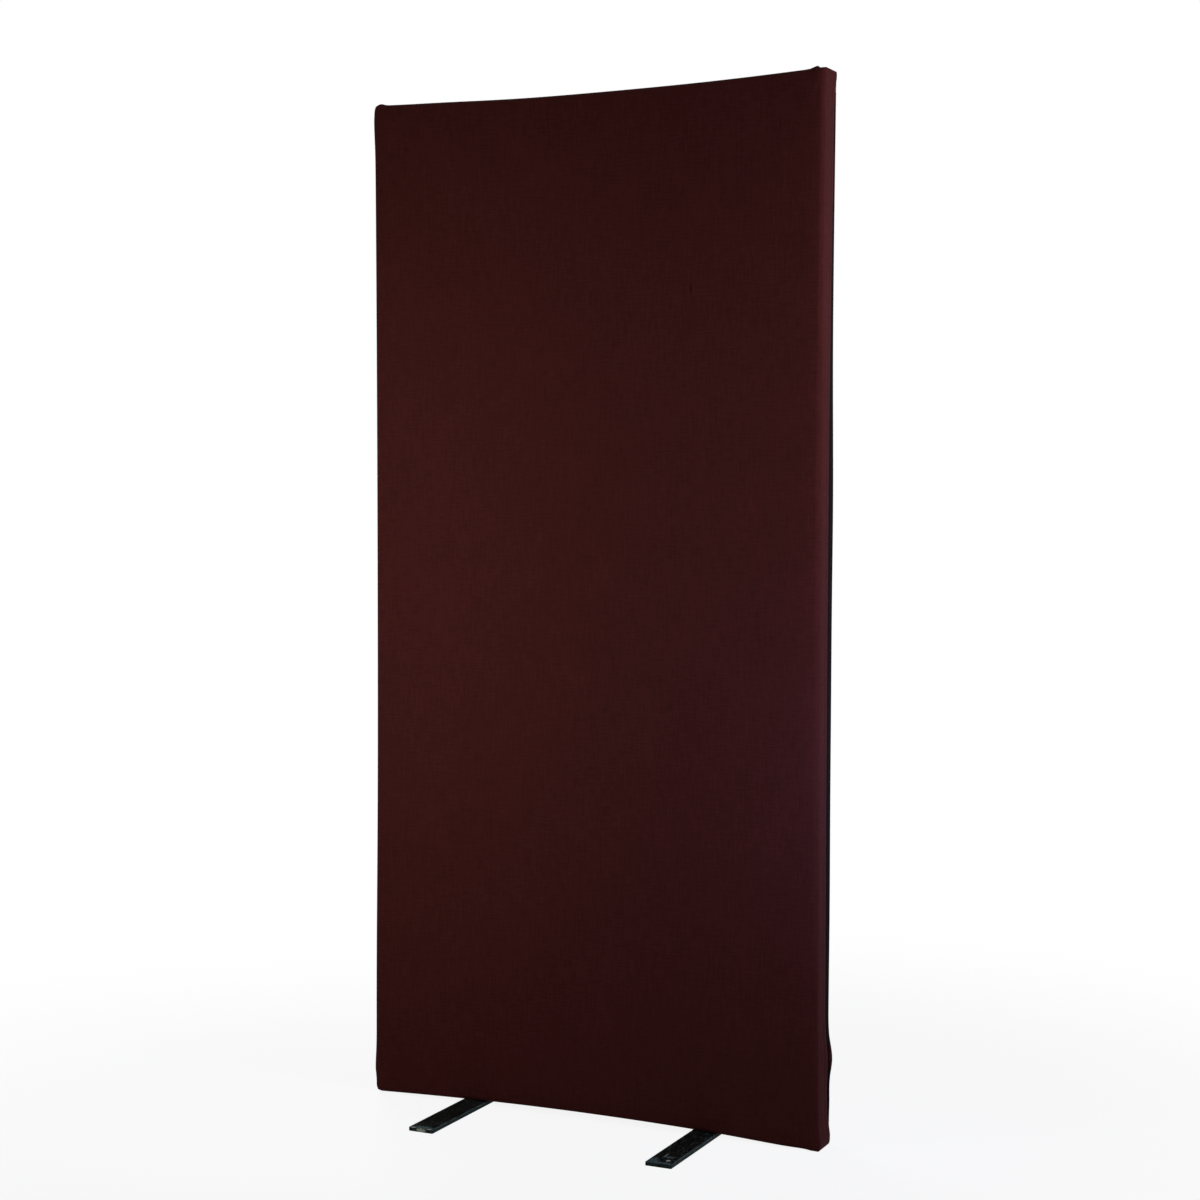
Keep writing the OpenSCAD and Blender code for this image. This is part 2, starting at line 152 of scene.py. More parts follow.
view = {"place": (2.232, -4.662, 1.488), "turn": 25.46, "down": 2.75, "roll": -0.16, "lens": 65.38,
        "sensor": 36.0}
bpy.ops.object.camera_add(location=view["place"],
                          rotation=[math.radians(a) for a in (90 - view["down"], view["roll"], view["turn"])])
camera = bpy.context.object
camera.data.lens = view["lens"]
camera.data.sensor_width = view["sensor"]
scene.camera = camera


# The panel's outline, in metres, with the same values as its solids

panel = {
    "width": 1.165, "height": 2.438, "depth": 0.093, "endBow": 0.014, "sideBow": 0.0045, "cornerGap": 0.001,
    "foldRadius": 0.012, "cornerRadius": 0.016, "clothThick": 0.0008, "feltThick": 0.0012, "seamRun": 0.002,
    "lapPull": 0.020, "lapWidth": 0.066, "lapStep": 0.0020, "closureLow": 0.200, "closureHigh": 2.325,
    "lapTopRun": 0.875, "lapLowRun": 0.190, "lapLowEnd": 0.150, "slantRun": 0.060,
    "lapEndShare": 0.55, "lapEndGap": 0.030, "lapEndRun": 0.050,
    "stepFrom": 0.3, "stepRun": 0.6, "floorClear": 0.0003, "cornerClear": 0.003, "cornerSteps": 4,
    "foldSteps": 6, "foldFrom": 7.0,  # degrees
}
halfW = panel["width"] / 2
halfH = panel["height"] / 2
midZ = panel["cornerGap"] + halfH
endRadius = (halfW ** 2 + panel["endBow"] ** 2) / (2 * panel["endBow"])
sideRadius = (halfH ** 2 + panel["sideBow"] ** 2) / (2 * panel["sideBow"])
faceY = panel["depth"] / 2
foldY = faceY - panel["foldRadius"]  # where the fold ends and the flat edge of the panel begins
seamY = foldY - panel["seamRun"]


def lowEdgeZ(x):
    return panel["cornerGap"] + panel["endBow"] - endRadius + math.sqrt(endRadius ** 2 - x * x)


def rightEdgeX(z):
    return halfW - panel["sideBow"] + sideRadius - math.sqrt(sideRadius ** 2 - (z - midZ) ** 2)


# A station is a place on the outline with its outward direction, and whether the lap is there

def station(x, z, nx, nz, lap=0.0):
    return {"x": x, "z": z, "nx": nx, "nz": nz, "lap": lap}


def lowStation(x):
    s = -x / endRadius
    return station(x, lowEdgeZ(x), s, -math.sqrt(1 - s * s))


def rightStation(z):
    s = (z - midZ) / sideRadius
    return station(rightEdgeX(z), z, math.sqrt(1 - s * s), -s, lap=1.0)


cornerZ = lowEdgeZ(halfW - panel["cornerRadius"]) + panel["cornerRadius"]
cornerX = rightEdgeX(cornerZ) - panel["cornerRadius"]
cornerFrom = -math.pi / 2 - math.asin(halfW / endRadius)
cornerTo = math.asin(halfH / sideRadius)


def cornerStation(t):
    a = mix(cornerFrom, cornerTo, t)
    r = panel["cornerRadius"]
    return station(cornerX + r * math.cos(a), cornerZ + r * math.sin(a), math.cos(a), math.sin(a))


def flipX(s):
    return station(-s["x"], s["z"], -s["nx"], s["nz"])


def flipZ(s):
    return station(s["x"], 2 * midZ - s["z"], s["nx"], -s["nz"], s["lap"])


def outlineStations(columns, rows):
    # stations along the four edges, each list from left to right or from the floor up
    reach = cornerX - panel["cornerClear"]
    foot = cornerZ + panel["cornerClear"]
    steps = panel["cornerSteps"]
    cornerHalf = [cornerStation(0.5 * k / steps) for k in range(steps + 1)]
    cornerSide = [cornerStation(0.5 + 0.5 * k / steps) for k in range(steps + 1)]
    graded = [1.5 * t - 0.5 * t ** 3 for t in (2 * k / columns - 1 for k in range(columns + 1))]
    low = [flipX(s) for s in reversed(cornerHalf)] + [lowStation(reach * g) for g in graded] + cornerHalf
    heights = [mix(foot, 2 * midZ - foot, k / rows) for k in range(rows + 1)]
    right = cornerSide + [rightStation(z) for z in heights] + [flipZ(s) for s in reversed(cornerSide)]
    return {"low": low, "top": [flipZ(s) for s in low], "right": right, "left": [flipX(s) for s in right]}


# How the stretched cover departs from its plain outline: how square each sewn corner is, at the front
# and at the back, and small bulges, each round a place on the outline and narrower on one side
# The boards lie only 0.2 mm behind the cloth, so nothing goes inward
cornerSquare = {(1, 1): (1.0, 1.05), (-1, 1): (0.35, 0.9), (1, -1): (0.85, 0.95), (-1, -1): (0.35, 0.6)}
bulges = [  # x, z, reach on the inner side and on the outer side, height at the front and at the back
    (0.563, 2.439, 0.012, 0.003, 0.0050, 0.0000),
    (0.580, 2.436, 0.018, 0.018, 0.0010, 0.0016),
    (-0.565, 2.439, 0.010, 0.014, 0.0032, 0.0025),
    (-0.582, 2.400, 0.060, 0.025, 0.0030, 0.0000),
    (-0.585, 0.060, 0.045, 0.020, 0.0034, 0.0012),
    (-0.579, 0.300, 0.330, 0.330, 0.0030, 0.0010),
    (0.582, 0.012, 0.030, 0.020, 0.0042, 0.0040),
    (0.579, 1.480, 0.260, 0.260, 0.0008, 0.0042),
    (0.578, 1.020, 0.330, 0.330, 0.0008, 0.0036),
    (0.579, 0.560, 0.250, 0.250, 0.0004, 0.0026),
    (0.580, 0.198, 0.046, 0.044, 0.0010, 0.0105),
    (0.581, 0.100, 0.050, 0.050, 0.0006, 0.0030),
    (0.490, 0.005, 0.130, 0.050, 0.0022, 0.0012),
    (-0.380, 2.430, 0.150, 0.120, 0.0018, 0.0012),
    (0.050, 2.425, 0.200, 0.200, 0.0010, 0.0010),
]


def standOut(s, depthShare):
    # how far the cloth stands out at a station, from 0 at the front fold to 1 at the back one
    corner = cornerSquare[(1 if s["x"] > 0 else -1, 1 if s["z"] > midZ else -1)]
    out = panel["cornerRadius"] * (1 / max(abs(s["nx"]), abs(s["nz"])) - 1) * mix(*corner, depthShare)
    for x, z, inner, outer, front, back in bulges:
        away = math.hypot(s["x"] - x, s["z"] - z)
        if away > 3 * max(inner, outer):
            continue  # nothing is left of a bulge so far out
        onEnd = abs(z - midZ) > halfH - 0.001
        inward = abs(x) - abs(s["x"]) if onEnd else abs(z - midZ) - abs(s["z"] - midZ)
        out += mix(front, back, depthShare) * bell(away / (inner if inward > 0 else outer))
    return out


def closureShare(z):
    # the lap is pulled forward fully between its ends, and a little right up to the corners
    belowTop = ramp((panel["closureHigh"] - z) / panel["lapTopRun"])
    aboveFoot = ramp((z - panel["lapLowEnd"]) / panel["lapLowRun"])
    fromEnd = halfH - panel["lapEndGap"] - abs(z - midZ)
    return ramp(fromEnd / panel["lapEndRun"]) * mix(panel["lapEndShare"], 1.0, belowTop * aboveFoot)


def lapEdgeY(s):
    return seamY - s["lap"] * panel["lapPull"] * closureShare(s["z"])


def stepIn(s):
    # how far the back cover lies deeper, under the lap
    return panel["lapStep"] * ramp((s["nx"] - panel["stepFrom"]) / panel["stepRun"])


def stretchedSheet(name, stations, faceAt, rings, swell):
    # a grid on one face of the panel, whose border is then extruded ring by ring round the edges
    columns = len(stations["low"]) - 1
    rows = len(stations["right"]) - 1
    piece = addGrid(name, columns, rows)
    mesh = piece.data
    side = -1 if faceAt < 0 else 1

    def inner(s):
        d = rings(s)[0][0]
        return (s["x"] - s["nx"] * d, s["z"] - s["nz"] * d)

    low, top = [inner(s) for s in stations["low"]], [inner(s) for s in stations["top"]]
    left, right = [inner(s) for s in stations["left"]], [inner(s) for s in stations["right"]]
    us = [(p[0] - low[0][0]) / (low[-1][0] - low[0][0]) for p in low]
    vs = [(p[1] - left[0][1]) / (left[-1][1] - left[0][1]) for p in left]
    mesh.attributes.new("cloth", "FLOAT_VECTOR", "POINT")
    mesh.attributes.new("mark", "INT", "POINT")
    cloths, marks = mesh.attributes["cloth"].data, mesh.attributes["mark"].data
    ring = []
    for vertex in mesh.vertices:
        i = round((vertex.co.x + 1) / 2 * columns)
        j = round((vertex.co.y + 1) / 2 * rows)
        u, v = us[i], vs[j]
        p = [mix(low[i][k], top[i][k], v) + mix(left[j][k], right[j][k], u)
             - mix(mix(low[0][k], low[-1][k], u), mix(top[0][k], top[-1][k], u), v) for k in (0, 1)]
        border = None
        if j == 0:
            border = stations["low"][i]
        elif j == rows:
            border = stations["top"][i]
        elif i == 0:
            border = stations["left"][j]
        elif i == columns:
            border = stations["right"][j]
        if border:
            p = inner(border)
            ring.append(border)
            vertex.co = (p[0], rings(border)[0][1], p[1])
        else:
            inset = min(p[0] - left[j][0], right[j][0] - p[0], p[1] - low[i][1], top[i][1] - p[1])
            vertex.co = (p[0], faceAt + side * swell(p[0], p[1], max(0.0, inset)), p[1])
        marks[vertex.index].value = len(ring) if border else 0
        cloths[vertex.index].vector = (p[0], p[1], 0)
    # the border goes round ring by ring: each ring is extruded in place and then moved
    profiles = [rings(s) for s in ring]
    runs = [0.0] * len(ring)
    bpy.ops.object.mode_set(mode="EDIT")
    bpy.ops.mesh.select_mode(type="EDGE")
    bpy.ops.mesh.select_all(action="DESELECT")
    bpy.ops.mesh.select_non_manifold(extend=False, use_wire=False, use_boundary=True,
                                     use_multi_face=False, use_non_contiguous=False, use_verts=False)
    for step in range(1, len(profiles[0])):
        bpy.ops.mesh.extrude_edges_move()
        bpy.ops.object.mode_set(mode="OBJECT")
        cloths, marks = mesh.attributes["cloth"].data, mesh.attributes["mark"].data
        for vertex in mesh.vertices:
            if not vertex.select:
                continue
            k = marks[vertex.index].value - 1
            s = ring[k]
            d, y = profiles[k][step]
            d0, y0 = profiles[k][step - 1]
            runs[k] += math.hypot(d - d0, y - y0)
            vertex.co = (s["x"] - s["nx"] * d, y, max(panel["floorClear"], s["z"] - s["nz"] * d))
            p = inner(s)
            cloths[vertex.index].vector = (p[0] + s["nx"] * runs[k], p[1] + s["nz"] * runs[k], 0)
        bpy.ops.object.mode_set(mode="EDIT")
    bpy.ops.mesh.select_all(action="SELECT")
    bpy.ops.mesh.normals_make_consistent(inside=False)
    bpy.ops.object.mode_set(mode="OBJECT")
    if mesh.polygons[0].normal.y * side < 0:
        mesh.flip_normals()
    mesh.attributes.remove(mesh.attributes["mark"])
    return piece


def shadeSmooth():
    bpy.ops.object.shade_smooth_by_angle(angle=math.radians(60))


def giveThickness(piece, thick):
    solidify = piece.modifiers.new("thickness", "SOLIDIFY")
    solidify.thickness = thick
    solidify.offset = -1
    applyModifiers(piece)
    shadeSmooth()


def edgeBand(name, style, low, high, thick, placeAt):
    # a band up the right edge of the panel; placeAt says how far in and how far back its points lie
    piece = addGrid(name, style["columns"], style["rows"])
    cloths = piece.data.attributes.new("cloth", "FLOAT_VECTOR", "POINT").data
    for vertex in piece.data.vertices:
        across = (vertex.co.x + 1) / 2
        s = rightStation(mix(low, high, (vertex.co.y + 1) / 2))
        d, y = placeAt(s, across)
        cloths[vertex.index].vector = (style["width"] * across, s["z"], 0)
        vertex.co = (s["x"] - s["nx"] * d, y, s["z"] - s["nz"] * d)
    if piece.data.polygons[0].normal.x < 0:
        piece.data.flip_normals()
    giveThickness(piece, thick)
    return piece


# Woven polyester: matt, close and slightly slubbed, so fine streaks run along both thread directions
# The real threads are under 1 mm apart; the slubs are drawn 4 mm wide so that they show at all

wovenPolyester = {
    "deep": "#36140f", "light": "#4b1e1c", "slubLong": 0.034, "slubWide": 0.0042, "slubRange": (0.68, 1.67),
    "cloudSize": 0.11, "cloudShare": 0.35, "thread": 0.0022, "threadWander": 0.6, "weaveShare": 0.10,
    "weaveRange": (0, 0.6, 0.6, 1.15), "slubDepthShare": 0.6, "depth": 0.00012, "relief": 0.7,
    "roughness": 0.9, "specular": 0.08,
    "sheen": {"Sheen Weight": 0.045, "Sheen Roughness": 0.3, "Sheen Tint": "#c9a6e6"},
    "snag": {"place": (0.2634, 1.961, 0), "size": (0.0030, 0.014, 1), "ragged": 0.4, "colour": "#300f10"},
}
spot = {"grainsPerMetre": 420.0, "full": 0.75, "none": 1.1}


def spotMask(add, place, centre, size, ragged):
    # 1 inside an oval with a ragged edge, 0 outside
    rough = add("TexNoise", {"Vector": place, "Scale": spot["grainsPerMetre"]})
    offset = add("VectorMath", (place, centre), operation="SUBTRACT")
    scaled = add("VectorMath", (offset, size), operation="DIVIDE")
    distance = add("VectorMath", (scaled,), operation="LENGTH").outputs["Value"]
    edge = add("Math", (rough, ragged, distance), operation="MULTIPLY_ADD")
    return add("MapRange", (edge, spot["full"] + ragged / 2, spot["none"] + ragged / 2, 1, 0))


def makeWoven(name):
    cloth = wovenPolyester
    material, add, place = newMaterial(name, "cloth")
    # slubs along the weft, slubs along the warp, and broad clouds
    long, wide, broad = 1 / cloth["slubLong"], 1 / cloth["slubWide"], 1 / cloth["cloudSize"]
    layers = []
    for scale, shift in (((long, wide, 1), 0), ((wide, long, 1), 7.3), ((broad, broad, 1), 3.1)):
        scaled = add("Mapping", {"Vector": place, "Scale": scale, "Location": [shift] * 3})
        layers.append(add("TexNoise", {"Vector": scaled, "Scale": 1}))
    both = add("Math", layers[:2], operation="ADD")
    slubs = add("Math", (layers[2], cloth["cloudShare"], both), operation="MULTIPLY_ADD")
    slubShare = add("MapRange", (slubs, *cloth["slubRange"]))
    shade = add("MixRGB", (slubShare, cloth["deep"], cloth["light"]))
    snag = cloth["snag"]
    snagged = spotMask(add, place, snag["place"], snag["size"], snag["ragged"])
    marked = add("MixRGB", (snagged, shade, snag["colour"]))
    # the weave darkens the gaps between the threads a little
    thread = {"Vector": place, "Scale": bandScale(cloth["thread"]), "Distortion": cloth["threadWander"],
              "Detail": 1}
    waves = [add("TexWave", thread, bands_direction=way).outputs["Fac"] for way in "YX"]
    weave = add("Math", waves, operation="MULTIPLY")
    weaveGrey = add("MapRange", (weave, *cloth["weaveRange"]))
    colour = add("MixRGB", (cloth["weaveShare"], marked, weaveGrey), blend_type="MULTIPLY")
    height = add("Math", (slubs, cloth["slubDepthShare"], weave), operation="MULTIPLY_ADD")
    return finishMaterial(material, cloth, colour, height, cloth["sheen"])


burgundyCloth = makeWoven("wovenPolyesterBurgundy")


# The swell of both faces of the cover, and the front cover: face, fold, edge flange, and on the right
# the hemmed lap with its two rows of stitches

clothFace = {
    "crown": 0.0018, "crownRun": 0.032, "wave": 0.0004, "waveRun": 0.05, "pull": 0.0007, "pullFolds": 12,
    "pullReach": 0.16, "pullEnd": 0.4, "pullGap": 0.03, "pullRun": 0.02,
    "waves": [(4, 3, 0, 1), (11, 6, 3.5, 0.4)],  # noise per metre across and up, its shift and its share
}
frontCloth = {
    "columns": 40, "rows": 366, "noisePlace": 1.7,
    "alongFlange": [0.15, 0.4, 0.7],  # share of the run between the fold and the first stitch row
    "beforeEdge": [0.0226, 0.0210, 0.0194, 0.0120, 0.0048, 0.0032, 0.0016],
    "stitchRows": [0.0210, 0.0032], "stitchDip": 0.0003, "dipWide": 0.0007, "hemRadius": 0.00095,
    "seamRadius": 0.00045, "foldPucker": 0.0006, "foldPuckerGap": 0.020, "puckerWander": 0.8,
    "puckerLow": 1.35, "puckerLowRun": 0.3, "puckerHigh": 2.36, "puckerHighRun": 0.1, "puckerFade": 0.022,
    "endPucker": 0.0030, "endPuckerWide": 0.045, "endPuckerRise": 2.2,
}


def foldPuckerAt(z):
    # small puckers across the right fold, in its upper half
    front = frontCloth
    share = ramp((z - front["puckerLow"]) / front["puckerLowRun"])
    share *= ramp((front["puckerHigh"] - z) / front["puckerHighRun"])
    phase = z / front["foldPuckerGap"] + front["puckerWander"] * noise.noise((0, z * 9, 3.1))
    return front["foldPucker"] * share * math.cos(2 * math.pi * phase)


def endPuckerAt(s, y):
    # the lap's pucker at the closure's lower end, which rises from the fold to the free edge
    away = (s["z"] - panel["closureLow"]) / frontCloth["endPuckerWide"]
    share = (y + foldY) / (lapEdgeY(s) + foldY)
    return s["lap"] * frontCloth["endPucker"] * bell(away) * share ** frontCloth["endPuckerRise"]


def faceSwell(x, z, inset, noisePlace):
    # how far the stretched cloth stands off its plane: a crown, soft waves, pulls from the corners
    face = clothFace
    away = max(0.0, 1 - inset / face["crownRun"])
    value = face["crown"] * (1 - away * away)
    waves = [share * noise.noise((x * across, z * up, noisePlace + shift))
             for across, up, shift, share in face["waves"]]
    value += face["wave"] * ramp(inset / face["waveRun"]) * sum(waves)
    for cx in (-halfW, halfW):
        for cz in (0.0, 2 * midZ):
            dx, dz = abs(x - cx), abs(z - cz)
            r = math.hypot(dx, dz)
            if r < face["pullEnd"]:
                folds = math.cos(math.atan2(dz, dx) * face["pullFolds"])
                pull = face["pull"] * folds * bell(r / face["pullReach"])
                value += pull * ramp(r / face["pullGap"]) * ramp(inset / face["pullRun"])
    return value


def frontSwell(x, z, inset):
    fromRight = max(0.0, rightEdgeX(z) - panel["foldRadius"] - x)
    return (faceSwell(x, z, inset, frontCloth["noisePlace"])
            + foldPuckerAt(z) * math.exp(-fromRight / frontCloth["puckerFade"]))


def foldRings(s, base, side, pucker=0.0):
    # the fold, from the face round to the edge of the panel
    fold = panel["foldRadius"]
    out = standOut(s, 0.0 if side < 0 else 1.0)
    start = math.radians(panel["foldFrom"])
    rings = []
    for k in range(panel["foldSteps"] + 1):
        a = mix(start, math.pi / 2, k / panel["foldSteps"])
        rings.append((base + fold - (fold + out + pucker) * math.sin(a),
                      side * (foldY + (fold + pucker) * math.cos(a))))
    return rings


def frontRings(s):
    # depth in from the outline and place front to back, for each ring of the border
    pucker = s["lap"] * foldPuckerAt(s["z"])
    edge = lapEdgeY(s)
    rings = foldRings(s, 0.0, -1, pucker)
    first = edge - frontCloth["beforeEdge"][0]
    places = [mix(-foldY, first, f) for f in frontCloth["alongFlange"]]
    places += [edge - e for e in frontCloth["beforeEdge"]]

    def lift(y):
        # the lap is held flat, and stands out only as far as the front fold does
        return (standOut(s, (1 - s["lap"]) * (y + foldY) / (2 * foldY)) + endPuckerAt(s, y)
                + pucker * math.exp(-(y + foldY) / frontCloth["puckerFade"]))

    for y in places:
        held = sum(bell((edge - y - row) / frontCloth["dipWide"]) for row in frontCloth["stitchRows"])
        rings.append((held * frontCloth["stitchDip"] * s["lap"] - lift(y), y))
    radius = mix(frontCloth["seamRadius"], frontCloth["hemRadius"], s["lap"])
    turn = mix(math.pi / 2, math.pi, s["lap"])
    for k in range(1, 5):
        a = turn * k / 4
        rings.append((radius * (1 - math.cos(a)) - lift(edge), edge - radius + radius * math.sin(a)))
    return rings


frontStations = outlineStations(frontCloth["columns"], frontCloth["rows"])
frontFaceAt = -(foldY + panel["foldRadius"] * math.cos(math.radians(panel["foldFrom"])))
clothFront = stretchedSheet("clothFront", frontStations, frontFaceAt, frontRings, frontSwell)
giveThickness(clothFront, panel["clothThick"])
dress(clothFront, burgundyCloth, "burgundy_cloth", "cover_front")
print("front cover:", len(clothFront.data.polygons), "faces")


# Stitches of the lap: one small twisted stitch, repeated along each row

lapStitch = {"length": 0.0030, "pitch": 0.0040, "thick": 0.0006, "bevel": 0.22, "low": 0.10, "high": 2.36,
             "lift": 0.00010, "routeSteps": 150}


def stitchRow(name, beforeEdge):
    deselectAll()
    bpy.ops.mesh.primitive_cylinder_add(vertices=6, radius=lapStitch["thick"] / 2, depth=lapStitch["length"],
                                        rotation=(0, math.pi / 2, 0))
    piece = bpy.context.object
    piece.name = name
    bpy.ops.object.transform_apply(location=True, rotation=True, scale=True)
    bpy.ops.object.mode_set(mode="EDIT")
    bpy.ops.mesh.select_all(action="SELECT")
    bpy.ops.mesh.bevel(offset=lapStitch["thick"] * lapStitch["bevel"], segments=1)
    bpy.ops.object.mode_set(mode="OBJECT")
    route = bpy.data.curves.new(name + "Route", "CURVE")
    route.dimensions = "3D"
    spline = route.splines.new("POLY")
    steps = lapStitch["routeSteps"]
    spline.points.add(steps)
    for k in range(steps + 1):
        s = rightStation(mix(lapStitch["low"], lapStitch["high"], k / steps))
        y = lapEdgeY(s) - beforeEdge
        d = frontCloth["stitchDip"] - lapStitch["lift"] - standOut(s, 0.0) - endPuckerAt(s, y)
        spline.points[k].co = (s["x"] - s["nx"] * d, y, s["z"] - s["nz"] * d, 1)
    guide = bpy.data.objects.new(name + "Route", route)
    scene.collection.objects.link(guide)
    array = piece.modifiers.new("row", "ARRAY")
    array.fit_type = "FIT_CURVE"
    array.curve = guide
    array.use_relative_offset = False
    array.use_constant_offset = True
    array.constant_offset_displace = (lapStitch["pitch"], 0, 0)
    follow = piece.modifiers.new("follow", "CURVE")
    follow.object = guide
    follow.deform_axis = "POS_X"
    applyModifiers(piece)
    bpy.data.objects.remove(guide)
    shadeSmooth()
    return piece


# Polyester sewing thread: smooth and a little shinier than the cloth, so the rows catch some light

sewingThread = {"colour": "#3a1618", "shade": "#2a0f11", "twistWide": 0.0004, "twistLong": 0.0012,
                "roughness": 0.55, "specular": 0.3, "depth": 0.0001, "relief": 0.7}


def makeThread(name):
    thread = sewingThread
    material, add, place = newMaterial(name)
    wide = 1 / thread["twistWide"]
    scaled = add("Mapping", {"Vector": place, "Scale": (wide, wide, 1 / thread["twistLong"])})
    twist = add("TexNoise", {"Vector": scaled, "Scale": 1})
    colour = add("MixRGB", (twist, thread["shade"], thread["colour"]))
    return finishMaterial(material, thread, colour, twist)


threadMaterial = makeThread("sewingThreadPolyester")
stitchRows = [stitchRow(f"lapStitches{k + 1}", before) for k, before in enumerate(frontCloth["stitchRows"])]
for row in stitchRows:
    dress(row, threadMaterial, "burgundy_cloth")
print("lap stitches:", [len(row.data.polygons) for row in stitchRows], "faces")


# Back cover, which runs forward under the lap

backCloth = {
    "columns": 26, "rows": 220, "noisePlace": 8.7, "seamRadius": 0.00045, "rise": 0.009,
    "behindLap": [0.3, 0.55, 0.75, 0.9], "underLap": [0.0, 0.5, 1.0], "leastRun": 0.0004,
    "seamGap": 0.00002, "slack": 0.0005, "underTurn": 0.9,
}


def underEdgeY(s):
    fromCorner = halfH - abs(s["z"] - midZ) - (cornerZ - panel["cornerGap"])
    return mix(seamY + backCloth["seamGap"], faceY - panel["lapWidth"],
               s["lap"] * ramp(fromCorner / panel["slantRun"]))


def backLift(s, y):
    # how far the back cover's edge strip stands out; the lap holds it down where it covers it
    free = ramp((y - lapEdgeY(s) - backCloth["slack"]) / backCloth["rise"]) if s["lap"] else 1.0
    return standOut(s, (y + foldY) / (2 * foldY)) * free


def backRings(s):
    base = stepIn(s)
    edge = underEdgeY(s)
    radius = backCloth["seamRadius"]
    lapY = max(lapEdgeY(s), edge + radius + backCloth["leastRun"])
    rings = foldRings(s, base, 1)
    places = [mix(foldY, lapY, f) for f in backCloth["behindLap"]]
    places += [mix(lapY, edge + radius, f) for f in backCloth["underLap"]]
    for y in places:
        rings.append((base - backLift(s, y), y))
    for k in range(1, 4):
        a = math.pi / 2 * k / 3 * (1 - s["lap"] * backCloth["underTurn"])
        rings.append((base + radius * (1 - math.cos(a)) - backLift(s, edge),
                      edge + radius - radius * math.sin(a)))
    return rings


backStations = outlineStations(backCloth["columns"], backCloth["rows"])
clothBack = stretchedSheet("clothBack", backStations, -frontFaceAt, backRings,
                           lambda x, z, inset: faceSwell(x, z, inset, backCloth["noisePlace"]))
giveThickness(clothBack, panel["clothThick"])
dress(clothBack, burgundyCloth, "burgundy_cloth", "cover_back")
print("back cover:", len(clothBack.data.polygons), "faces")


# Needled felt: a grey fleece of short fibres that lie all ways, so it looks softly mottled

needledFelt = {"deep": "#2f2f33", "light": "#5c5b60", "fibre": 0.0022, "fibreLong": 0.0088,
               "fibreFlat": 0.00154, "patch": 0.03, "patchShare": 0.5, "toneRange": (0.9, 1.6),
               "roughness": 1.0, "specular": 0.05, "depth": 0.0004, "relief": 0.7}
feltSheet = {"columns": 40, "rows": 90, "wave": 0.00015, "wavesPerMetre": 9, "clear": 0.0001}


def makeFelt(name):
    felt = needledFelt
    material, add, place = newMaterial(name)
    fibre = 1 / felt["fibre"]
    fibres = add("TexNoise", {"Vector": place, "Scale": fibre, "Detail": 4})
    sizes = (1 / felt["fibreLong"], fibre, 1 / felt["fibreFlat"])
    scaled = add("Mapping", {"Vector": place, "Scale": sizes, "Location": [2.7] * 3})
    drawn = add("TexNoise", {"Vector": scaled, "Scale": 1, "Detail": 3})
    patches = add("TexNoise", {"Vector": place, "Scale": 1 / felt["patch"]})
    both = add("Math", (fibres, drawn), operation="ADD")
    mottled = add("Math", (patches, felt["patchShare"], both), operation="MULTIPLY_ADD")
    tone = add("MapRange", (mottled, *felt["toneRange"]))
    colour = add("MixRGB", (tone, felt["deep"], felt["light"]))
    return finishMaterial(material, felt, colour, both)


greyFelt = makeFelt("needledFeltGrey")


def makeFeltSheet(name, side, node, insetAt):
    y = side * (faceY - panel["clothThick"] - feltSheet["clear"])
    stations = outlineStations(feltSheet["columns"], feltSheet["rows"])
    waves = feltSheet["wavesPerMetre"]
    piece = stretchedSheet(name, stations, y, lambda s: [(panel["foldRadius"] + insetAt(s), y)],
                           lambda x, z, inset: feltSheet["wave"] * noise.noise((x * waves, z * waves, 4.4)))
    giveThickness(piece, panel["feltThick"] - 3 * feltSheet["clear"])
    dress(piece, greyFelt, "grey_felt", node)
    return piece


feltFront = makeFeltSheet("feltFront", -1, "felt_front", lambda s: 0.0)
feltBack = makeFeltSheet("feltBack", 1, "felt_back", stepIn)
print("felts made")


# Mineral wool slabs: pressed fibres with soft, slightly torn faces

woolSlab = {"voxel": 0.010, "rub": 0.0020, "leastRub": 0.0012, "lumpScale": 14.0, "tuftScale": 70.0,
            "tuftShare": 0.3}


def makeSlab(node, name):
    piece = bpy.data.objects.new(name, bpy.data.objects[node].data.copy())
    scene.collection.objects.link(piece)
    makeActive(piece)
    bpy.ops.object.mode_set(mode="EDIT")
    bpy.ops.mesh.select_all(action="SELECT")
    bpy.ops.mesh.remove_doubles(threshold=0.00001)
    bpy.ops.object.mode_set(mode="OBJECT")
    remesh = piece.modifiers.new("remesh", "REMESH")
    remesh.mode = "VOXEL"
    remesh.voxel_size = woolSlab["voxel"]
    applyModifiers(piece)
    mesh = piece.data
    normals = [vertex.normal.copy() for vertex in mesh.vertices]
    for vertex, normal in zip(mesh.vertices, normals):
        lump = 0.5 + 0.5 * noise.noise(vertex.co * woolSlab["lumpScale"])
        lump += woolSlab["tuftShare"] * noise.noise(vertex.co * woolSlab["tuftScale"])
        vertex.co -= normal * (woolSlab["leastRub"] + woolSlab["rub"] * max(0.0, lump))
    bpy.ops.object.shade_smooth()
    return piece


# Mineral wool: olive-brown glassy fibres, matt, with paler and darker tufts

mineralWool = {"deep": "#5d5026", "light": "#a4935a", "fibreLong": 0.016, "fibreWide": 0.0016,
               "fibreThick": 0.0024, "tuft": 0.02, "tuftShare": 0.6, "toneRange": (0.95, 1.65),
               "roughness": 1.0, "specular": 0.1, "depth": 0.0012, "relief": 0.7}


